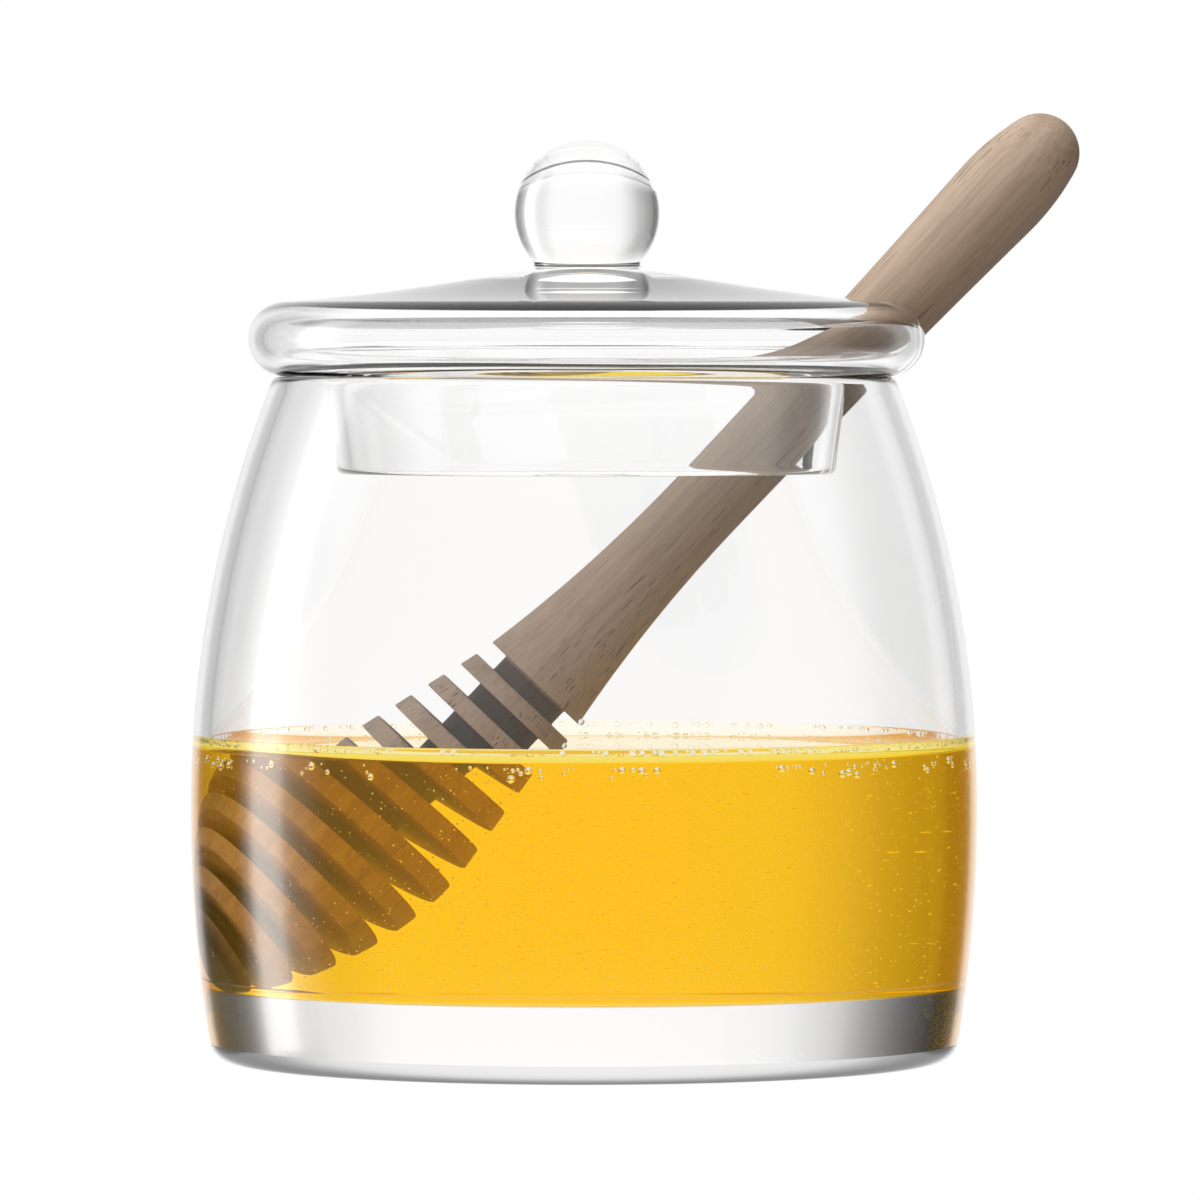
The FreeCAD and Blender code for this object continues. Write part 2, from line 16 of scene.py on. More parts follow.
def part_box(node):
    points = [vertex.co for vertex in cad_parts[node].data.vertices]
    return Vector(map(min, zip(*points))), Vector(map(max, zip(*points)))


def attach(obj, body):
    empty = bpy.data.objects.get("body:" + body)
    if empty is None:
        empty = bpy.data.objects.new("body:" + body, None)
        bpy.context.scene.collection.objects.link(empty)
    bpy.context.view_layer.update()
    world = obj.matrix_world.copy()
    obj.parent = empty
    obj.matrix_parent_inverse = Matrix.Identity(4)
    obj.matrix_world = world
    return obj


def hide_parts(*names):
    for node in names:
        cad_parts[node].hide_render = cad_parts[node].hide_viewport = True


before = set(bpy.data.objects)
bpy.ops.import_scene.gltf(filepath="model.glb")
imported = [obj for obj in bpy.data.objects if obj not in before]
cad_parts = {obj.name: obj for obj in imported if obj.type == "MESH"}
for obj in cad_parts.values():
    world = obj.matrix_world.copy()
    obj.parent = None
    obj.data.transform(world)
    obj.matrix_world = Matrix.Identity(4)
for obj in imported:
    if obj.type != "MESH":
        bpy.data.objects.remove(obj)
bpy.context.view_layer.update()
MM = 0.001


def node_box(node):
    """Lowest and highest corner of a CAD node, in millimetres."""
    return [Vector(corner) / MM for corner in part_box(node)]


JAR_BOX, LID_BOX, HONEY_BOX = node_box("jar"), node_box("lid"), node_box("honey")

# The jar
JAR_HEIGHT = JAR_BOX[1].z
BELLY_RADIUS = JAR_BOX[1].x
WALL = JAR_BOX[1].x - HONEY_BOX[1].x
BASE = HONEY_BOX[0].z
BELLY_HEIGHT = 33.0
MOUTH_RADIUS = 39.72
LOWER_SWEEP = 190.0
FOOT_ROUND = 3.0
FLOOR_ROUND = 2.0

# Heights up to which a face of the jar belongs to the flat underside, and to the rounded foot
UNDERSIDE_TOP = 0.01
FOOT_TOP = FOOT_ROUND - 0.3

# The honey
HONEY_EDGE = HONEY_BOX[1].z
HONEY_CLIMB = 2.0
HONEY_LEVEL = HONEY_EDGE - HONEY_CLIMB
HONEY_CURVE = 3.6
INTO_WALL = 0.12  # only in the scene, so that no air shows between honey and glass

# Bubbles: how far they stay from the glass, from each other and under the surface
GLASS_GAP = 0.03
BUBBLE_GAP = 0.02
UNDER_SURFACE = 0.15

# The lid, from the underside of its edge
LID_SHIFT = 0.4
LID_HEIGHT = LID_BOX[1].z - JAR_HEIGHT
LID_OVERHANG = 4.45
LID_RADIUS = MOUTH_RADIUS + LID_OVERHANG
LID_WALL = 1.9
NOSE = 4.88
DOME_RISE = 14.2
DOME_SWEEP = 250.0
CEILING_CROWN = 0.65
KNOB_RADIUS = 9.5
KNOB_ROUND = 0.45
COLLAR_GAP = 5.8
COLLAR_RADIUS = MOUTH_RADIUS - COLLAR_GAP
COLLAR_DROP = JAR_HEIGHT - LID_BOX[0].z
COLLAR_DRAFT = 1.3
COLLAR_ROUND = 2.0
NOTCH_GAP = 1.2
NOTCH_EDGE = LID_WALL / 2

# How far the dipper and the lid are turned about the jar's axis, and the dipper's slope
AZIMUTH = math.radians(2.5)
LID_AZIMUTH = AZIMUTH + math.radians(1.7)
TILT = math.radians(46.4)

# The dipper, from its free end
FLANGES = 10
FLANGE = 2.44
GROOVE = 2.44
PITCH = FLANGE + GROOVE
HEAD = FLANGES * PITCH
CORE_RADIUS = 5.2
NECK_RADIUS = 8.2
HEAD_RADIUS = 13.4
HEAD_STATION = 22.8
HEAD_SHOULDER = 27.0
TAIL_SWEEP = 36.5
TAIL_ROUND = 1.6
HANDLE = 100.8
FLARE_RADIUS = 7.75
WAIST_RADIUS = 5.08
WAIST_STATION = 32.0
GRIP_RADIUS = 6.12
GRIP_STATION = 87.0
TIP_RADIUS = 5.2
SEAT_GAP = 0.05
CORNER_ROUND = 0.22  # only in the scene

# The cut through the lid's surfaces, which stop short of the notch to leave room for its rounded edge
NOTCH_CUT = GRIP_RADIUS + NOTCH_GAP + NOTCH_EDGE


# ---------------------------------------------------------------- outlines

def point(x, y):
    """A point of an outline: x is the distance from the axis and y the height."""
    return Vector((x, y))


def towards(centre, target, radius):
    """The point at a radius from a centre, in the direction of a target."""
    return centre + (target - centre).normalized() * radius


def meet(first, first_radius, second, second_radius, side):
    """A meeting point of two circles: side +1 is left of the way from first to second, -1 right."""
    way = second - first
    gap = way.length
    along = (gap ** 2 + first_radius ** 2 - second_radius ** 2) / (2 * gap)
    across = math.sqrt(max(first_radius ** 2 - along ** 2, 0.0))
    unit = way / gap
    return first + unit * along + point(-unit.y, unit.x) * side * across


def arc(centre, start, end, turn, count):
    """Points along an arc from start to end, both included. turn is +1 counterclockwise, -1 clockwise."""
    first = math.atan2(start.y - centre.y, start.x - centre.x)
    sweep = (math.atan2(end.y - centre.y, end.x - centre.x) - first) * turn % (2 * math.pi)
    radius = (start - centre).length
    angles = [first + turn * sweep * i / count for i in range(count + 1)]
    return [centre + point(math.cos(a), math.sin(a)) * radius for a in angles]


def line(start, end, count):
    """Points along a straight line, both ends included."""
    return [start.lerp(end, i / count) for i in range(count + 1)]


def chain(*runs):
    """One outline of several runs, each starting where the last ended."""
    points = [runs[0][0]]
    for run in runs:
        points += run[1:]
    return points


class Side:
    """The jar's side: two arcs that meet at the belly, and the round bead of the rim."""
    bead = point(MOUTH_RADIUS, JAR_HEIGHT - WALL / 2)
    inward = MOUTH_RADIUS - BELLY_RADIUS
    rise = bead.y - BELLY_HEIGHT
    upper_sweep = (inward ** 2 + rise ** 2 - (WALL / 2) ** 2) / (-2 * inward - WALL)
    upper = point(BELLY_RADIUS - upper_sweep, BELLY_HEIGHT)
    lower = point(BELLY_RADIUS - LOWER_SWEEP, BELLY_HEIGHT)

    @classmethod
    def corner(cls, height, reach):
        """Centre of a rounding at a height, as far from the lower arc's centre as reach."""
        drop = height - cls.lower.y
        return point(cls.lower.x + math.sqrt(reach ** 2 - drop ** 2), height)

    @classmethod
    def inside(cls, height, into=0.0):
        """The inner wall's radius at a height, or the radius this far into the glass."""
        centre, sweep = (cls.upper, cls.upper_sweep) if height > BELLY_HEIGHT else (cls.lower, LOWER_SWEEP)
        return centre.x + math.sqrt((sweep - WALL + into) ** 2 - (height - centre.y) ** 2)


def jar_outline():
    """From the middle of the underside, up the outside, over the rim and down to the middle of the floor."""
    foot = Side.corner(FOOT_ROUND, LOWER_SWEEP - FOOT_ROUND)
    foot_side = towards(Side.lower, foot, LOWER_SWEEP)
    belly = point(BELLY_RADIUS, BELLY_HEIGHT)
    rim_in = towards(Side.bead, Side.upper, WALL / 2)
    rim_out = Side.bead * 2 - rim_in
    corner = Side.corner(BASE + FLOOR_ROUND, LOWER_SWEEP - WALL - FLOOR_ROUND)
    corner_side = towards(Side.lower, corner, LOWER_SWEEP - WALL)
    wet = point(Side.inside(HONEY_EDGE), HONEY_EDGE)
    belly_in = belly - point(WALL, 0)
    return chain(
        line(point(0, 0), point(foot.x, 0), 24),
        arc(foot, point(foot.x, 0), foot_side, +1, 12),
        arc(Side.lower, foot_side, belly, +1, 24),
        arc(Side.upper, belly, rim_out, +1, 56),
        arc(Side.bead, rim_out, rim_in, +1, 16),
        arc(Side.upper, rim_in, wet, -1, 46),
        arc(Side.upper, wet, belly_in, -1, 10),
        arc(Side.lower, belly_in, corner_side, -1, 22),
        arc(corner, corner_side, point(corner.x, BASE), -1, 10),
        line(point(corner.x, BASE), point(0, BASE), 24),
    )


def honey_outline():
    """The honey reaches a little into the glass, so that no air shows between them."""
    base = BASE - INTO_WALL
    sweep = LOWER_SWEEP - WALL + INTO_WALL
    rounding = FLOOR_ROUND + INTO_WALL
    corner = Side.corner(base + rounding, sweep - rounding)
    corner_side = towards(Side.lower, corner, sweep)
    belly = point(BELLY_RADIUS - WALL + INTO_WALL, BELLY_HEIGHT)
    top_in_wall = point(Side.inside(HONEY_EDGE, INTO_WALL), HONEY_EDGE)
    edge = point(Side.inside(HONEY_EDGE), HONEY_EDGE)
    drop = HONEY_CURVE - HONEY_CLIMB
    start = point(edge.x - math.sqrt(HONEY_CURVE ** 2 - drop ** 2), HONEY_LEVEL)
    return chain(
        line(point(0, base), point(corner.x, base), 24),
        arc(corner, point(corner.x, base), corner_side, +1, 10),
        arc(Side.lower, corner_side, belly, +1, 22),
        arc(Side.upper, belly, top_in_wall, +1, 10),
        line(top_in_wall, edge, 1),
        arc(start + point(0, HONEY_CURVE), edge, start, -1, 14),
        line(start, point(0, HONEY_LEVEL), 90),
    )


# ---------------------------------------------------------------- meshes

def make_object(name, verts, faces, material=None):
    """A smooth-shaded object from points in millimetres."""
    mesh = bpy.data.meshes.new(name)
    mesh.from_pydata([Vector(v) * MM for v in verts], [], faces)
    mesh.polygons.foreach_set("use_smooth", [True] * len(mesh.polygons))
    obj = bpy.data.objects.new(name, mesh)
    bpy.context.collection.objects.link(obj)
    if material:
        mesh.materials.append(material)
    return obj


def closed_object(name, verts, faces, material=None):
    """An object whose meeting points are joined and whose faces all look outwards."""
    obj = make_object(name, verts, faces, material)
    obj.data.validate()
    bm = bmesh.new()
    bm.from_mesh(obj.data)
    bmesh.ops.remove_doubles(bm, verts=bm.verts, dist=1e-7)
    bmesh.ops.recalc_face_normals(bm, faces=bm.faces)
    bm.to_mesh(obj.data)
    bm.free()
    return obj


def lathe(outline, count):
    """Points and faces of a closed outline turned about Z. The outline starts and ends on the axis."""
    verts, faces, rings = [], [], []
    for p in outline:
        if abs(p.x) < 1e-6:
            rings.append([len(verts)])
            verts.append((0, 0, p.y))
        else:
            rings.append(list(range(len(verts), len(verts) + count)))
            for k in range(count):
                a = 2 * math.pi * k / count
                verts.append((p.x * math.cos(a), p.x * math.sin(a), p.y))
    for low, high in zip(rings, rings[1:]):
        for k in range(count):
            a, b = low[k % len(low)], low[(k + 1) % len(low)]
            c, d = high[(k + 1) % len(high)], high[k % len(high)]
            corners = [a, b, c, d]
            faces.append([v for i, v in enumerate(corners) if v not in corners[:i]])
    return verts, faces


def strips(rows):
    """Faces between neighbouring rows of equally many points."""
    faces = []
    for low, high in zip(rows, rows[1:]):
        for k in range(len(low) - 1):
            faces.append([low[k], low[k + 1], high[k + 1], high[k]])
    return faces


def set_materials(obj, materials, choose):
    """Gives the object several materials; choose returns the index for a face's centre in mm."""
    for material in materials:
        obj.data.materials.append(material)
    for face in obj.data.polygons:
        face.material_index = choose(face.center / MM)


def lid_profile():
    """The lid's arcs, from the knob down to the rounded edge, and the ceiling inside."""
    nose = point(LID_RADIUS - NOSE, NOSE)
    knob = point(0, LID_HEIGHT - KNOB_RADIUS)
    dome_guess = point(KNOB_RADIUS * 0.75, DOME_RISE)
    dome = meet(dome_guess, DOME_SWEEP, nose, DOME_SWEEP + NOSE, +1)
    rounding = meet(knob, KNOB_RADIUS + KNOB_ROUND, dome, DOME_SWEEP - KNOB_ROUND, -1)
    inner = NOSE - LID_WALL
    ceiling_height = nose.y + inner + CEILING_CROWN
    over = ceiling_height - nose.y
    sweep = (nose.x ** 2 + over ** 2 - inner ** 2) / (2 * (over - inner))
    ceiling = point(0, ceiling_height - sweep)
    inner_top = nose + (nose - ceiling).normalized() * inner
    return nose, knob, dome, rounding, point(0, ceiling_height), ceiling, sweep, inner_top


def dome_radii(flat_end):
    """Radii of the dome's rings: even steps of angle round the notch's end, then evenly out to the edge."""
    radii = []
    for i in range(25):
        along = math.cos(math.pi / 2 * i / 24)
        radii.append(math.sqrt(COLLAR_RADIUS ** 2 + NOTCH_CUT ** 2 - 2 * COLLAR_RADIUS * NOTCH_CUT * along))
    return radii + [radii[-1] + (flat_end - radii[-1]) * i / 8 for i in range(1, 9)]


def on_circle(centre, radius, x, side):
    """The point of a circle at x, above its centre for side +1 and below for -1."""
    return point(x, centre.y + side * math.sqrt(radius ** 2 - (x - centre.x) ** 2))


def collar_runs(nose):
    """The collar's outside and inside, from under the lid's edge to the lowest point of its hem."""
    turn = point(COLLAR_RADIUS + COLLAR_ROUND, -COLLAR_ROUND)
    hem_half = LID_WALL / 2
    hem = point(COLLAR_RADIUS - COLLAR_DRAFT - hem_half, hem_half - COLLAR_DROP)
    slant = math.atan2(COLLAR_DRAFT, COLLAR_DROP)
    outward = point(math.cos(slant), -math.sin(slant))
    turn_out = turn - outward * COLLAR_ROUND
    turn_in = turn - outward * (COLLAR_ROUND + LID_WALL)
    hem_out, hem_in = hem + outward * hem_half, hem - outward * hem_half
    hem_low = hem + point(-outward.y, outward.x) * -hem_half
    outside = chain(
        line(point(nose.x, 0), point(turn.x, 0), 8),
        arc(turn, point(turn.x, 0), turn_out, +1, 10),
        line(turn_out, hem_out, 24),
        arc(hem, hem_out, hem_low, -1, 8),
    )
    inside = chain(
        line(point(nose.x, LID_WALL), point(turn.x, LID_WALL), 8),
        arc(turn, point(turn.x, LID_WALL), turn_in, +1, 10),
        line(turn_in, hem_in, 24),
        arc(hem, hem_in, hem_low, +1, 8),
    )
    return outside, inside


def lid_sections():
    """The crown with the knob, the matching outer and inner surface down to the hem, and the ceiling."""
    nose, knob, dome, rounding, ceiling_top, ceiling, sweep, inner_top = lid_profile()
    knob_end = towards(knob, rounding, KNOB_RADIUS)
    dome_start = towards(dome, rounding, DOME_SWEEP)
    dome_end = towards(nose, dome, NOSE)
    radii = dome_radii(min(dome_end.x, inner_top.x))[:-1]
    outer_dome = [on_circle(dome, DOME_SWEEP, x, -1) for x in radii] + [dome_end]
    inner_dome = [on_circle(ceiling, sweep, x, +1) for x in radii] + [inner_top]
    collar_outside, collar_inside = collar_runs(nose)
    outer = chain(outer_dome, arc(nose, dome_end, point(nose.x, 0), -1, 40), collar_outside)
    inner = chain(inner_dome, arc(nose, inner_top, point(nose.x, LID_WALL), -1, 40), collar_inside)
    crown = chain(
        arc(knob, point(0, LID_HEIGHT), knob_end, -1, 64),
        arc(rounding, knob_end, dome_start, +1, 8),
        arc(dome, dome_start, outer_dome[0], +1, 24),
    )
    return crown, outer, inner, arc(ceiling, ceiling_top, inner_dome[0], -1, 24)


def cut_angle(radius):
    """The angle from the notch's middle line at which a ring of this radius meets the notch."""
    if radius <= COLLAR_RADIUS - NOTCH_CUT + 1e-9:
        return 0.0
    along = (radius ** 2 + COLLAR_RADIUS ** 2 - NOTCH_CUT ** 2) / (2 * COLLAR_RADIUS)
    if along <= COLLAR_RADIUS:
        return math.acos(min(along / radius, 1.0))
    return math.asin(NOTCH_CUT / radius)


def into_notch(middle):
    """The direction from the notch's border into the notch, whose round end is centred on the collar."""
    if middle.x < COLLAR_RADIUS:
        return (Vector((COLLAR_RADIUS, 0, 0)) - Vector((middle.x, middle.y, 0))).normalized()
    return Vector((0, -math.copysign(1, middle.y), 0))


def notch_bead(verts, a, b, count):
    """Adds the points of a half round from point a to point b, and returns the whole row."""
    first, last = Vector(verts[a]), Vector(verts[b])
    middle, half = (first + last) / 2, (first - last) / 2
    into = into_notch(middle)
    row = [a]
    for j in range(1, count):
        t = math.pi * j / count
        row.append(len(verts))
        verts.append(tuple(middle + half * math.cos(t) + into * NOTCH_EDGE * math.sin(t)))
    return row + [b]


def lid_mesh(count=256, bead=8):
    """The lid turned about Z, open along the notch, whose glass edge is a rounded bead."""
    crown, outer, inner, ceiling = lid_sections()
    loop = crown[:-1] + outer + inner[-2::-1] + ceiling[-2::-1]
    verts, faces, rings = [], [], []
    for p in loop:
        start = cut_angle(p.x)
        ring = []
        for k in range(count + 1):
            a = start + (2 * math.pi - 2 * start) * k / count
            ring.append(len(verts))
            verts.append((p.x * math.cos(a), p.x * math.sin(a), p.y))
        rings.append(ring)
    faces += strips(rings)
    first = len(crown) - 1
    last = first + 2 * len(outer) - 2
    for side in (0, count):
        pairs = [(rings[first + i][side], rings[last - i][side]) for i in range(len(outer))]
        faces += strips([notch_bead(verts, a, b, bead) for a, b in pairs])
    return verts, faces


def lid_place():
    """The lid on the jar's rim, pushed a little towards its notch."""
    shift = Matrix.Translation(Vector((LID_SHIFT, 0, 0)) * MM)
    lift = Matrix.Translation(Vector((0, 0, JAR_HEIGHT)) * MM)
    return lift @ Matrix.Rotation(LID_AZIMUTH, 4, "Z") @ shift


def dipper_place():
    """The seat in the jar: the rounded free end touches the floor and the handle lies on the rim."""
    reach = math.sqrt((TAIL_SWEEP - TAIL_ROUND) ** 2 - (HEAD_STATION - TAIL_ROUND) ** 2)
    tail_corner = HEAD_RADIUS - TAIL_SWEEP + reach
    up = BASE + SEAT_GAP + TAIL_ROUND * (1 - math.sin(TILT)) + tail_corner * math.cos(TILT)
    bead_over_end = JAR_HEIGHT - WALL / 2 - up
    rest = (bead_over_end + (WAIST_RADIUS + WALL / 2) * math.cos(TILT)) / math.sin(TILT) - HEAD
    swell = (GRIP_RADIUS - WAIST_RADIUS) * ((rest - WAIST_STATION) / (GRIP_STATION - WAIST_STATION)) ** 2
    offset = WAIST_RADIUS + swell + WALL / 2 + SEAT_GAP
    out = MOUTH_RADIUS - (offset + bead_over_end * math.cos(TILT)) / math.sin(TILT)
    turn = Matrix.Rotation(AZIMUTH, 4, "Z")
    return turn @ Matrix.Translation(Vector((out, 0, up)) * MM) @ Matrix.Rotation(math.pi / 2 - TILT, 4, "Y")


def arc_radius(step):
    """Radius of an arc that starts along the axis and ends this step away."""
    return step.dot(step) / (2 * step.x)


def dipper_envelope():
    """Centres and points of the dipper's outline before its grooves are cut."""
    widest = point(HEAD_RADIUS, HEAD_STATION)
    tail = widest - point(TAIL_SWEEP, 0)
    shoulder = widest - point(HEAD_SHOULDER, 0)
    reach = TAIL_SWEEP - TAIL_ROUND
    end = point(tail.x + math.sqrt(reach ** 2 - (HEAD_STATION - TAIL_ROUND) ** 2), TAIL_ROUND)
    tail_start = towards(tail, end, TAIL_SWEEP)
    neck = point(NECK_RADIUS, HEAD - GROOVE)
    way = neck - shoulder
    angle = math.atan2(way.y, way.x) - math.acos(HEAD_SHOULDER / way.length)
    cone = shoulder + point(math.cos(angle), math.sin(angle)) * HEAD_SHOULDER
    head = chain(
        arc(end, point(end.x, 0), tail_start, +1, 10),
        arc(tail, tail_start, widest, +1, 200),
        arc(shoulder, widest, cone, +1, 80),
        line(cone, neck, 200),
    )
    flare, waist = point(FLARE_RADIUS, HEAD), point(WAIST_RADIUS, HEAD + WAIST_STATION)
    grip, tip = point(GRIP_RADIUS, HEAD + GRIP_STATION), point(0, HEAD + HANDLE)
    flare_centre = waist + point(arc_radius(flare - waist), 0)
    swell_centre = waist + point(arc_radius(grip - waist), 0)
    tip_centre = tip - point(0, TIP_RADIUS)
    outward = (grip - swell_centre).normalized()
    drop = grip - tip_centre
    sweep = (drop.dot(drop) - TIP_RADIUS ** 2) / (-2 * drop.dot(outward) - 2 * TIP_RADIUS)
    tip_sweep = grip + outward * sweep
    tip_start = towards(tip_sweep, tip_centre, sweep)
    handle = chain(
        arc(flare_centre, flare, waist, -1, 60),
        arc(swell_centre, waist, grip, -1, 80),
        arc(tip_sweep, grip, tip_start, +1, 16),
        arc(tip_centre, tip_start, tip, +1, 24),
    )
    return head, handle


def rounded(points, size, count=3):
    """An outline whose marked corners are rounded. points is a list of (point, is_corner)."""
    result = []
    for i, (p, corner) in enumerate(points):
        if not corner:
            result.append(p)
            continue
        before, after = points[i - 1][0], points[i + 1][0]
        start, end = towards(p, before, size), towards(p, after, size)
        for j in range(count + 1):
            t = j / count
            result.append(start * (1 - t) ** 2 + p * 2 * t * (1 - t) + end * t ** 2)
    return result


def dipper_outline():
    """The envelope with its grooves cut, every flange's corners rounded."""
    head, handle = dipper_envelope()

    def radius_at(height):
        for a, b in zip(head, head[1:]):
            if a.y <= height <= b.y and b.y > a.y:
                return a.x + (b.x - a.x) * (height - a.y) / (b.y - a.y)
        return head[-1].x

    points = [(point(0, 0), False), (point(head[0].x * 0.5, 0), False)]
    points += [(p, False) for p in head if p.y < FLANGE - 2 * CORNER_ROUND]
    for i in range(FLANGES):
        low = FLANGE + PITCH * i
        high = low + GROOVE
        if i:
            rim = [low - FLANGE * k / 4 for k in (3, 2, 1)]
            points += [(point(radius_at(height), height), False) for height in rim]
        bottom = radius_at(low)
        points += [(point(bottom, low), True), (point((bottom + CORE_RADIUS) / 2, low), False)]
        points += [(point(CORE_RADIUS, low), True), (point(CORE_RADIUS, (low + high) / 2), False)]
        points += [(point(CORE_RADIUS, high), True)]
        top = radius_at(high) if i < FLANGES - 1 else FLARE_RADIUS
        points += [(point((top + CORE_RADIUS) / 2, high), False), (point(top, high), True)]
    points += [(p, False) for p in handle[1:]]
    return rounded(points, CORNER_ROUND)


# ---------------------------------------------------------------- materials

GLASS_IOR = 1.5
HONEY_IOR = 1.49
FILM_IOR = 1.22
BLACK, WHITE = (0, 0, 0, 1), (1, 1, 1, 1)

# Painted shade on the glass of the base and of the foot: how clear it looks, from 0, facing, to 1, turned
# away
BASE_PAINTED_SHADE = [(0, 1), (0.19, 1), (0.26, 0.95), (0.305, 0.75), (0.357, 0.53), (0.412, 0.33), (0.47, 0.2),
              (0.53, 0.13), (0.6, 0.1), (0.67, 0.13), (0.74, 0.25), (0.83, 0.5), (0.9, 0.8), (1, 1)]
FOOT_PAINTED_SHADE = [(0, 0.95), (0.2, 0.92), (0.32, 0.8), (0.4, 0.62), (0.5, 0.42), (0.65, 0.3), (0.8, 0.4),
              (0.9, 0.8), (1, 1)]
UNDERSIDE_CLEAR = 0.9


class Tree:
    """Short ways to add a shader tree's nodes. A value is a number, a colour or another node's socket."""

    def __init__(self, tree):
        self.nodes, self.links = tree.nodes, tree.links

    def feed(self, socket, value):
        if isinstance(value, (int, float, tuple)):
            socket.default_value = value
        else:
            self.links.new(value, socket)

    def math(self, operation, first, second=0.0):
        node = self.nodes.new("ShaderNodeMath")
        node.operation = operation
        self.feed(node.inputs[0], first)
        self.feed(node.inputs[1], second)
        return node.outputs[0]

    def step(self, value, start, end, low=0.0, high=1.0):
        """Rises smoothly from low to high as the value goes from start to end."""
        node = self.nodes.new("ShaderNodeMapRange")
        node.interpolation_type = "SMOOTHSTEP"
        sockets = ("Value", "From Min", "From Max", "To Min", "To Max")
        for name, amount in zip(sockets, (value, start, end, low, high)):
            self.feed(node.inputs[name], amount)
        return node.outputs[0]

    def apart(self, vector):
        node = self.nodes.new("ShaderNodeSeparateXYZ")
        self.feed(node.inputs[0], vector)
        return node.outputs

    def mix(self, share, first, second):
        node = self.nodes.new("ShaderNodeMix")
        for name, amount in (("Factor", share), ("A", first), ("B", second)):
            self.feed(node.inputs[name], amount)
        return node.outputs[0]

    def mix_colour(self, share, first, second, blend="MIX"):
        node = self.nodes.new("ShaderNodeMix")
        node.data_type = "RGBA"
        node.blend_type = blend
        sockets = [socket for socket in node.inputs if socket.enabled]
        for socket, amount in zip(sockets, (share, first, second)):
            self.feed(socket, amount)
        return next(socket for socket in node.outputs if socket.enabled)

    def curve(self, value, profile, top=1.0):
        """Reads a smooth curve through (place, value) points, both from 0 to 1 times top."""
        node = self.nodes.new("ShaderNodeFloatCurve")
        points = node.mapping.curves[0].points
        for k, (place, amount) in enumerate(profile):
            at = (place, amount / top)
            knot = points[k] if k < 2 else points.new(*at)
            knot.location = at
            knot.handle_type = "AUTO_CLAMPED"
        node.mapping.update()
        self.feed(node.inputs["Value"], value)
        return self.math("MULTIPLY", node.outputs[0], top)

    def grey(self, share):
        return self.mix_colour(share, BLACK, WHITE)

    def turned(self, profile):
        """A painted shade: a grey that follows how far a face turns away."""
        return self.grey(self.curve(self.nodes.new("ShaderNodeLayerWeight").outputs["Facing"], profile))

    def around(self, x, y, profile):
        """Reads a list of (degrees, value) at the direction of x and y, measured from +Y towards +X."""
        place = self.math("ADD", self.math("DIVIDE", self.math("ARCTAN2", x, y), 2 * math.pi), 0.5)
        top = max(value for _, value in profile)
        return self.curve(place, [(degrees / 360 + 0.5, value) for degrees, value in profile], top)


def new_material(name):
    material = bpy.data.materials.new(name)
    material.use_nodes = True
    nodes = material.node_tree.nodes
    nodes.clear()
    output = nodes.new("ShaderNodeOutputMaterial")
    return material, material.node_tree, output


def glass_material(name, ior):
    """Polished clear glass, or any other clear thing with its own way of bending light."""
    material, tree, output = new_material(name)
    shader = tree.nodes.new("ShaderNodeBsdfPrincipled")
    shader.inputs["Base Color"].default_value = WHITE
    shader.inputs["Transmission Weight"].default_value = 1.0
    shader.inputs["Roughness"].default_value = 0.0
    shader.inputs["IOR"].default_value = ior
    tree.links.new(shader.outputs[0], output.inputs["Surface"])
    return material, tree, output, shader


def see_through(name):
    """A face that bends no light."""
    material, tree, output = new_material(name)
    clear = tree.nodes.new("ShaderNodeBsdfTransparent")
    tree.links.new(clear.outputs[0], output.inputs["Surface"])
    return material, tree, clear


def wet_glass():
    """The wall's inside where honey wets it. The honey's own faces bend the light there."""
    return see_through("jar_wall_wet")[0]


def base_glass():
    """Solid glass with painted shade, darker where it turns away."""
    material, tree, output, shader = glass_material("jar_base", GLASS_IOR)
    tree = Tree(tree)
    # painted shade: the glass's colour darkens with how far a face turns away
    tree.feed(shader.inputs["Base Color"], tree.turned(BASE_PAINTED_SHADE))
    return material


def foot_glass():
    """The rounded foot lets light through unbent, so that it doesn't show the honey above; painted shade
    darkens it where it turns away.
    """
    material, tree, clear = see_through("jar_foot")
    tree = Tree(tree)
    # painted shade: the see-through colour darkens where a face turns away
    tree.feed(clear.inputs["Color"], tree.turned(FOOT_PAINTED_SHADE))
    return material


def underside_glass():
    """The flat underside, almost clear from every angle."""
    material, tree, clear = see_through("jar_underside")
    clear.inputs["Color"].default_value = (UNDERSIDE_CLEAR, UNDERSIDE_CLEAR, UNDERSIDE_CLEAR, 1)
    return material


def honey_volume(tree, output):
    """Golden honey: it swallows blue and dims what is behind, and glows with painted light of its own in
    place of light scattered in it.
    """
    absorb = tree.nodes.new("ShaderNodeVolumeAbsorption")
    absorb.inputs["Color"].default_value = (0.918, 0.825, 0.01, 1)
    absorb.inputs["Density"].default_value = 54.5
    # painted light: an emission that stands in for light scattered inside the honey
    painted_glow = tree.nodes.new("ShaderNodeEmission")
    painted_glow.inputs["Color"].default_value = (1.0, 0.53, 0.03, 1)
    painted_glow.inputs["Strength"].default_value = 4.73
    both = tree.nodes.new("ShaderNodeAddShader")
    tree.links.new(absorb.outputs[0], both.inputs[0])
    tree.links.new(painted_glow.outputs[0], both.inputs[1])
    tree.links.new(both.outputs[0], output.inputs["Volume"])


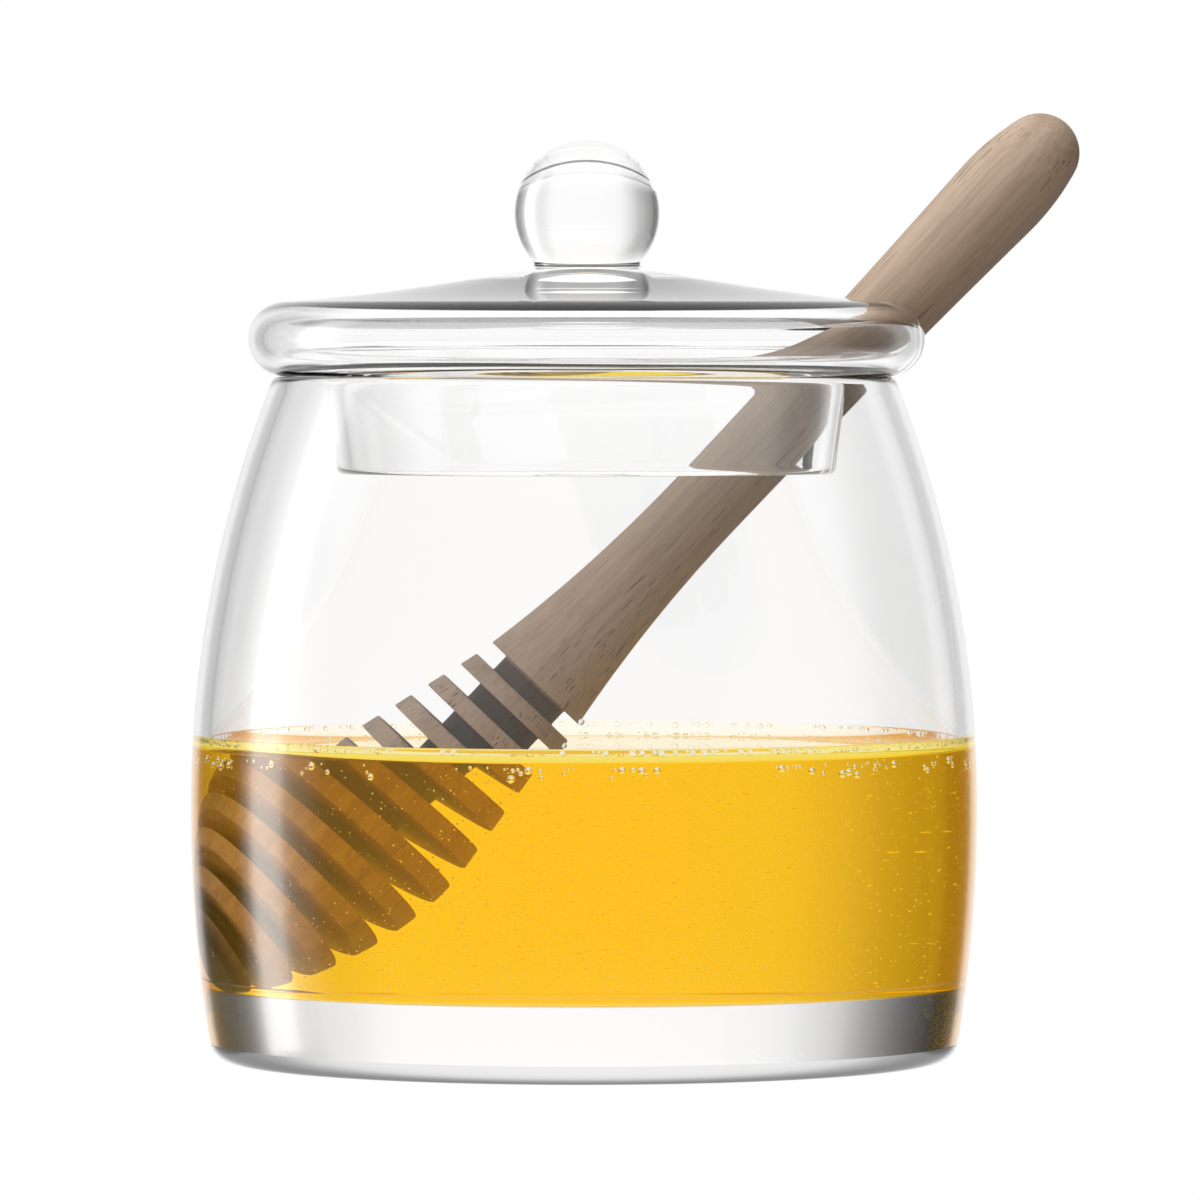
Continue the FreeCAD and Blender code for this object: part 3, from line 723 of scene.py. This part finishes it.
def painted_white_behind_lid(node_tree, output, shader):
    """Light bent more than three times, as by the lid's edge, meets a painted near-white glow instead of the
    honey.
    """
    tree = Tree(node_tree)
    depth = tree.nodes.new("ShaderNodeLightPath").outputs["Transmission Depth"]
    # painted light: a near-white emission glows in place of the honey
    plain = tree.nodes.new("ShaderNodeEmission")
    plain.inputs["Strength"].default_value = 0.85
    either = tree.nodes.new("ShaderNodeMixShader")
    tree.feed(either.inputs[0], tree.math("GREATER_THAN", depth, 3.5))
    tree.links.new(shader.outputs[0], either.inputs[1])
    tree.links.new(plain.outputs[0], either.inputs[2])
    tree.links.new(either.outputs[0], output.inputs["Surface"])


def honey_surface():
    """The honey's face to the air."""
    material, tree, output, shader = glass_material("honey_surface", HONEY_IOR)
    painted_white_behind_lid(tree, output, shader)
    honey_volume(tree, output)
    return material


def honey_at_glass():
    """The honey's face inside the glass, where light barely bends."""
    material, tree, output, shader = glass_material("honey_at_glass", HONEY_IOR / GLASS_IOR)
    honey_volume(tree, output)
    return material


def wood_material(name, dark, light, pore, groove_painted_dark):
    """Sanded hardwood: faint growth bands, fine dark pores drawn out along the grain, along Z, and painted
    shade in the head's grooves.
    """
    material, node_tree, output = new_material(name)
    tree = Tree(node_tree)
    place = tree.nodes.new("ShaderNodeTexCoord").outputs["Object"]

    def noise(stretch, size, detail=2.0):
        mapping = tree.nodes.new("ShaderNodeMapping")
        mapping.inputs["Scale"].default_value = stretch
        tree.feed(mapping.inputs["Vector"], place)
        node = tree.nodes.new("ShaderNodeTexNoise")
        tree.feed(node.inputs["Vector"], mapping.outputs[0])
        node.inputs["Scale"].default_value = size
        node.inputs["Detail"].default_value = detail
        return node.outputs["Fac"]

    bands = tree.mix_colour(tree.step(noise((1, 0.35, 0.03), 420), 0.35, 0.65), (*dark, 1), (*light, 1))
    streaks = tree.step(noise((1, 1, 0.04), 2600, 3.0), 0.35, 0.62, 0.86, 1.0)
    pores = tree.step(noise((1, 1, 0.05), 3200, 1.0), 0.30, 0.37)
    rows = tree.step(noise((1, 0.3, 0.02), 300), 0.42, 0.60)
    pores = tree.mix(rows, 1.0, tree.math("MAXIMUM", pores, pore))

    # painted shade: the head's grooves darken towards the core
    x, y, z = tree.apart(place)
    radius = tree.math("SQRT", tree.math("ADD", tree.math("POWER", x, 2.0), tree.math("POWER", y, 2.0)))
    painted_groove_shade = tree.step(radius, CORE_RADIUS * MM, 9.5 * MM, groove_painted_dark, 1.0)
    painted_groove_shade = tree.mix(tree.step(z, (HEAD - 0.4) * MM, HEAD * MM), painted_groove_shade, 1.0)
    shade = tree.math("MULTIPLY", tree.math("MULTIPLY", streaks, pores), painted_groove_shade)
    colour = tree.mix_colour(1.0, bands, tree.grey(shade), "MULTIPLY")

    shader = tree.nodes.new("ShaderNodeBsdfPrincipled")
    tree.feed(shader.inputs["Base Color"], colour)
    shader.inputs["Roughness"].default_value = 0.6
    bump = tree.nodes.new("ShaderNodeBump")
    bump.inputs["Strength"].default_value = 0.5
    bump.inputs["Distance"].default_value = 0.0001
    tree.feed(bump.inputs["Height"], pores)
    tree.feed(shader.inputs["Normal"], bump.outputs[0])
    tree.links.new(shader.outputs[0], output.inputs["Surface"])
    return material


# ---------------------------------------------------------------- pieces

def finish_piece(obj, node):
    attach(obj, "root")
    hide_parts(node)


def axis_distance(point):
    return math.hypot(point.x, point.y)


def is_wet(centre):
    """Whether a face of the jar lies against the honey."""
    inner = axis_distance(centre) < Side.inside(max(centre.z, BASE)) + WALL / 2
    return inner and BASE - 0.5 < centre.z < HONEY_EDGE


def is_bound(centre):
    """Whether a face of the honey lies against the glass."""
    return centre.z < BASE + 1 or axis_distance(centre) > Side.inside(max(centre.z, BASE)) - 0.02


def jar_part(centre):
    """0 for bare glass, 1 where honey wets it, 2 for the solid base, 3 for its foot, 4 for the underside."""
    if is_wet(centre):
        return 1
    if centre.z > FOOT_TOP:
        return 0 if centre.z > BASE else 2
    return 3 if centre.z > UNDERSIDE_TOP else 4


def in_honey(centre):
    """1 for a face of the dipper below the honey's level, 0 above."""
    return int((dipper_place() @ (centre * MM)).z < HONEY_LEVEL * MM)


def make_jar():
    jar = closed_object("jar_body", *lathe(jar_outline(), 256))
    bare = glass_material("jar_glass", GLASS_IOR)[0]
    set_materials(jar, [bare, wet_glass(), base_glass(), foot_glass(), underside_glass()], jar_part)
    finish_piece(jar, "jar")


def make_honey(surface):
    honey = closed_object("honey_fill", *lathe(honey_outline(), 256))
    set_materials(honey, [surface, honey_at_glass()], lambda centre: int(is_bound(centre)))
    finish_piece(honey, "honey")


def make_lid():
    lid = closed_object("lid_body", *lid_mesh(), glass_material("lid_glass", GLASS_IOR)[0])
    lid.data.transform(lid_place())
    finish_piece(lid, "lid")


def make_dipper():
    dipper = closed_object("dipper_wood", *lathe(dipper_outline(), 128))
    dipper.matrix_world = dipper_place()
    # the last number is how dark the painted shade in the grooves gets at the core
    dry = wood_material("dipper_hardwood", (0.48, 0.36, 0.265), (0.56, 0.43, 0.325), 0.45, 0.28)
    wet = wood_material("dipper_hardwood_wet", (0.56, 0.31, 0.27), (0.72, 0.43, 0.40), 0.65, 0.05)
    set_materials(dipper, [dry, wet], in_honey)
    finish_piece(dipper, "dipper")


def spheres(name, places, rounds, material):
    """One mesh of many small balls; places is a list of (centre, radius) in millimetres."""
    bm = bmesh.new()
    bmesh.ops.create_icosphere(bm, subdivisions=rounds, radius=1.0)
    ball = [v.co.copy() for v in bm.verts]
    sides = [[v.index for v in face.verts] for face in bm.faces]
    bm.free()
    verts, faces = [], []
    for centre, radius in places:
        first = len(verts)
        verts += [centre + v * radius for v in ball]
        faces += [[first + i for i in side] for side in sides]
    obj = make_object(name, verts, faces, material)
    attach(obj, "root")


def at_wall(angle, height, radius):
    """Centre of a bubble that almost touches the glass."""
    reach = Side.inside(height) - radius - GLASS_GAP
    return Vector((reach * math.cos(angle), reach * math.sin(angle), height))


def edge_bubbles(chance):
    """Clusters of air bubbles at the glass: a row in the honey's raised edge, and one under its surface."""
    rows = [], []
    for cluster in range(190):
        middle = chance.uniform(0, 2 * math.pi)
        upper = chance.random() < 0.5
        spread = chance.uniform(0.3, 2.2)
        for bubble in range(chance.randint(1, 7)):
            if upper:
                radius = chance.uniform(0.2, 0.45)
                height = HONEY_EDGE - UNDER_SURFACE - radius
            else:
                radius = 0.16 + 0.4 * chance.random() ** 2
                height = HONEY_LEVEL - UNDER_SURFACE - radius - 1.2 * chance.random() ** 2
            row = rows[0 if upper else 1]
            centre = at_wall(middle + chance.gauss(0, spread) / Side.inside(height), height, radius)
            if all((centre - other).length > radius + size + BUBBLE_GAP for other, size in row):
                row.append((centre, radius))
    return rows


def fine_bubbles(chance):
    """Fine air bubbles all through the honey."""
    places = []
    for bubble in range(4500):
        height = chance.uniform(BASE + 1.5, HONEY_LEVEL - 0.6)
        reach = (Side.inside(height) - 1.0) * math.sqrt(chance.random())
        angle = chance.uniform(0, 2 * math.pi)
        centre = Vector((reach * math.cos(angle), reach * math.sin(angle), height))
        places.append((centre, 0.04 + 0.1 * chance.random() ** 2))
    return places


def drops():
    """Drops of honey that cling under the edges of the dipper, above the surface."""
    place = dipper_place()
    under_flare = Vector((FLARE_RADIUS - 0.1, -3.2, HEAD + 0.5))
    under_flange = Vector((NECK_RADIUS, -2.6, HEAD - GROOVE - 0.8))
    spots = (under_flare, 0.42), (under_flange, 0.36)
    return [(place @ (spot * MM) / MM, radius) for spot, radius in spots]


def make_bubbles(surface):
    air = glass_material("air_in_honey", 1 / HONEY_IOR)[0]
    film = glass_material("bubble_film", FILM_IOR)[0]
    upper_row, lower_row = edge_bubbles(random.Random(11))
    spheres("upper_bubbles", upper_row, 3, film)
    spheres("lower_bubbles", lower_row, 3, air)
    spheres("fine_bubbles", fine_bubbles(random.Random(12)), 1, air)
    spheres("honey_drops", drops(), 3, surface)


# ---------------------------------------------------------------- stage

# Brightness round the horizon, in degrees from straight behind the pot, left negative. Bent light comes from
# a white backdrop behind the pot, dark flags at both sides and a bright room in front. Polished surfaces
# mirror a narrower backdrop, wider flags, a dim room and a tall softbox on the left.
BENT = [(-180, 1), (-105, 1), (-84, 0.7), (-72, 0.2), (-62, 0.1), (-54, 0.25), (-41, 0.42), (-36, 0.5),
        (-31, 0.64), (-25, 0.8), (-14, 0.98), (18, 1.0), (30, 0.85), (43, 1.15), (47, 0.9), (54, 0.5),
        (62, 0.3), (72, 0.2), (84, 0.7), (105, 1), (180, 1)]
MIRRORED = [(-180, 0.3), (-110, 0.25), (-90, 0.2), (-75, 0.05), (-40, 0.02), (-26, 0.3), (-14, 1.0),
            (14, 1.0), (26, 0.3), (40, 0.02), (60, 0.02), (75, 0.05), (95, 0.2), (180, 0.3)]
SOFTBOX = [(-180, 0), (-106, 0), (-92, 0.8), (-82, 3.0), (-74, 6.5), (-67, 4.6), (-61, 0.8), (-54, 0),
           (180, 0)]

# Brightness far above the horizon and far below it
ABOVE = 1.2
BELOW = 1.05

# What wood gathers: a key light from above on the left, and warm shade away from it
KEY = 1.7
KEY_DIRECTION = Vector((-0.62, -0.35, 0.70)).normalized()
SHADE = 0.2
SHADE_COLOUR = (1.0, 0.84, 0.66, 1)


def light_on_glass(tree, path, x, y, z):
    """Brightness for light that glass and honey bend or mirror; z is the sine of its source's height."""
    softbox = tree.math("MULTIPLY", tree.around(x, y, SOFTBOX), tree.step(z, -0.31, -0.25))
    softbox = tree.math("MULTIPLY", softbox, tree.step(z, 0.05, 0.3, 1.0, 0.7))
    mirrored = tree.math("ADD", tree.around(x, y, MIRRORED), softbox)
    level = tree.mix(path["Is Transmission Ray"], mirrored, tree.around(x, y, BENT))
    level = tree.mix(tree.step(z, 0.4, 0.75), level, ABOVE)
    return tree.mix(tree.step(z, -0.2, -0.45), level, BELOW)


def make_world():
    """A white studio, which shows glass, wood and the camera each their own light."""
    world = bpy.data.worlds.new("studio")
    bpy.context.scene.world = world
    world.use_nodes = True
    world.node_tree.nodes.clear()
    tree = Tree(world.node_tree)
    coordinates = tree.nodes.new("ShaderNodeTexCoord").outputs["Generated"]
    x, y, z = tree.apart(coordinates)
    path = tree.nodes.new("ShaderNodeLightPath").outputs
    towards_key = tree.nodes.new("ShaderNodeVectorMath")
    towards_key.operation = "DOT_PRODUCT"
    tree.feed(towards_key.inputs[0], coordinates)
    tree.feed(towards_key.inputs[1], tuple(KEY_DIRECTION))
    lit = tree.step(towards_key.outputs["Value"], 0.05, 1.0)
    gathered = tree.math("GREATER_THAN", path["Diffuse Depth"], 0.5)
    level = tree.mix(gathered, light_on_glass(tree, path, x, y, z), tree.mix(lit, SHADE, KEY))
    level = tree.mix(path["Is Camera Ray"], level, 1.0)
    warmth = tree.math("MULTIPLY", gathered, tree.math("SUBTRACT", 1.0, lit))
    back = tree.nodes.new("ShaderNodeBackground")
    tree.feed(back.inputs["Color"], tree.mix_colour(warmth, WHITE, SHADE_COLOUR))
    tree.feed(back.inputs["Strength"], level)
    tree.links.new(back.outputs[0], tree.nodes.new("ShaderNodeOutputWorld").inputs["Surface"])


def make_floor():
    """A plain white floor just under the pot. Only the camera sees it; glass and wood meet the studio."""
    half, drop = 4000.0, 0.2
    corners = [(-half, -half, -drop), (half, -half, -drop), (half, half, -drop), (-half, half, -drop)]
    material, tree, output = new_material("floor_white")
    glow = tree.nodes.new("ShaderNodeEmission")
    glow.inputs["Color"].default_value = WHITE
    glow.inputs["Strength"].default_value = 1.0
    tree.links.new(glow.outputs[0], output.inputs["Surface"])
    floor = make_object("floor", corners, [(0, 1, 2, 3)], material)
    floor.visible_diffuse = False
    floor.visible_glossy = False
    floor.visible_transmission = False


# The camera stands about level with the lid, far away, with a long lens
CAMERA_PLACE = (0, -1.365, 0.096)
CAMERA_LENS = 314
CAMERA_YAW = math.radians(-0.0875)
CAMERA_PITCH = math.radians(-1.509)


def make_camera():
    data = bpy.data.cameras.new("camera")
    data.sensor_width = 36
    data.lens = CAMERA_LENS
    data.clip_start = 0.05
    data.clip_end = 100
    camera = bpy.data.objects.new("camera", data)
    bpy.context.collection.objects.link(camera)
    camera.location = CAMERA_PLACE
    camera.rotation_euler = (math.pi / 2 + CAMERA_PITCH, 0, CAMERA_YAW)
    bpy.context.scene.camera = camera


honey_face = honey_surface()
make_jar()
make_honey(honey_face)
make_lid()
make_dipper()
make_bubbles(honey_face)
make_world()
make_floor()
make_camera()
bpy.context.scene.view_settings.view_transform = "Standard"
